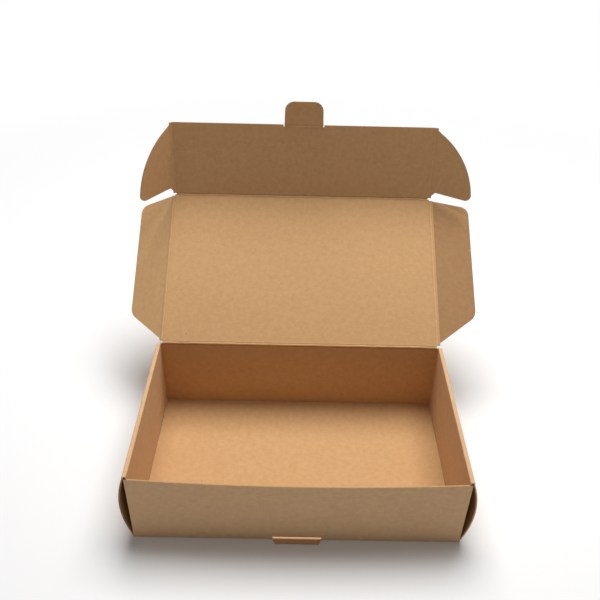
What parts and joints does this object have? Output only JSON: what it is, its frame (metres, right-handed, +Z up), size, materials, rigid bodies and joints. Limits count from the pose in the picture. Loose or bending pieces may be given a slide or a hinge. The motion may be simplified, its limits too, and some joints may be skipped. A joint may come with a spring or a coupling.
{
  "type": "corrugated mailer box",
  "caption": "Open mailer folded from thin corrugated board: a tray with rolled side walls, a hinged lid with side flaps, and a tuck flap with ears and a locking tab.",
  "frame": {"origin": "middle of the tray's underside, without the small front lip", "axes": "+Z up from the surface that the tray stands on, +X to the right along the tray's length, -Y towards the front wall"},
  "size_m": [0.3163, 0.2863, 0.2418],
  "materials": {
    "kraft_board": "matt brown kraft liner"
  },
  "bodies": {
    "tray": {"tray": "kraft_board"},
    "lid_panel": {"lid_panel": "kraft_board"},
    "lid_left_flap": {"lid_left_flap": "kraft_board"},
    "lid_right_flap": {"lid_right_flap": "kraft_board"},
    "tuck_flap": {"tuck_flap": "kraft_board"},
    "tuck_left_ear": {"tuck_left_ear": "kraft_board"},
    "tuck_right_ear": {"tuck_right_ear": "kraft_board"},
    "locking_tab": {"locking_tab": "kraft_board"}
  },
  "joints": [
    {"name": "lid_fold", "type": "hinge", "parent": "tray", "child": "lid_panel", "pos_m": [0, 0.0745, 0.0697], "axis": [-1, 0, 0], "range_deg": [-140, 46]},
    {"name": "lid_left_flap_fold", "type": "hinge", "parent": "lid_panel", "child": "lid_left_flap", "pos_m": [-0.122, 0.0745, 0.0697], "axis": [0, 0.829, 0.5592], "range_deg": [-30, 62]},
    {"name": "lid_right_flap_fold", "type": "hinge", "parent": "lid_panel", "child": "lid_right_flap", "pos_m": [0.122, 0.0745, 0.0697], "axis": [0, -0.829, -0.5592], "range_deg": [-48, 102]},
    {"name": "tuck_flap_fold", "type": "hinge", "parent": "lid_panel", "child": "tuck_flap", "pos_m": [0, 0.19695, 0.15229], "axis": [1, 0, 0], "range_deg": [-48, 42]},
    {"name": "tuck_left_ear_fold", "type": "hinge", "parent": "tuck_flap", "child": "tuck_left_ear", "pos_m": [-0.1207, 0.19695, 0.15229], "axis": [0, 0.1392, 0.9903], "range_deg": [-65, 45]},
    {"name": "tuck_right_ear_fold", "type": "hinge", "parent": "tuck_flap", "child": "tuck_right_ear", "pos_m": [0.1207, 0.19695, 0.15229], "axis": [0, -0.1392, -0.9903], "range_deg": [-30, 80]},
    {"name": "locking_tab_fold", "type": "hinge", "parent": "tuck_flap", "child": "locking_tab", "pos_m": [0, 0.2063, 0.21884], "axis": [1, 0, 0], "range_deg": [-100, 80]}
  ]
}
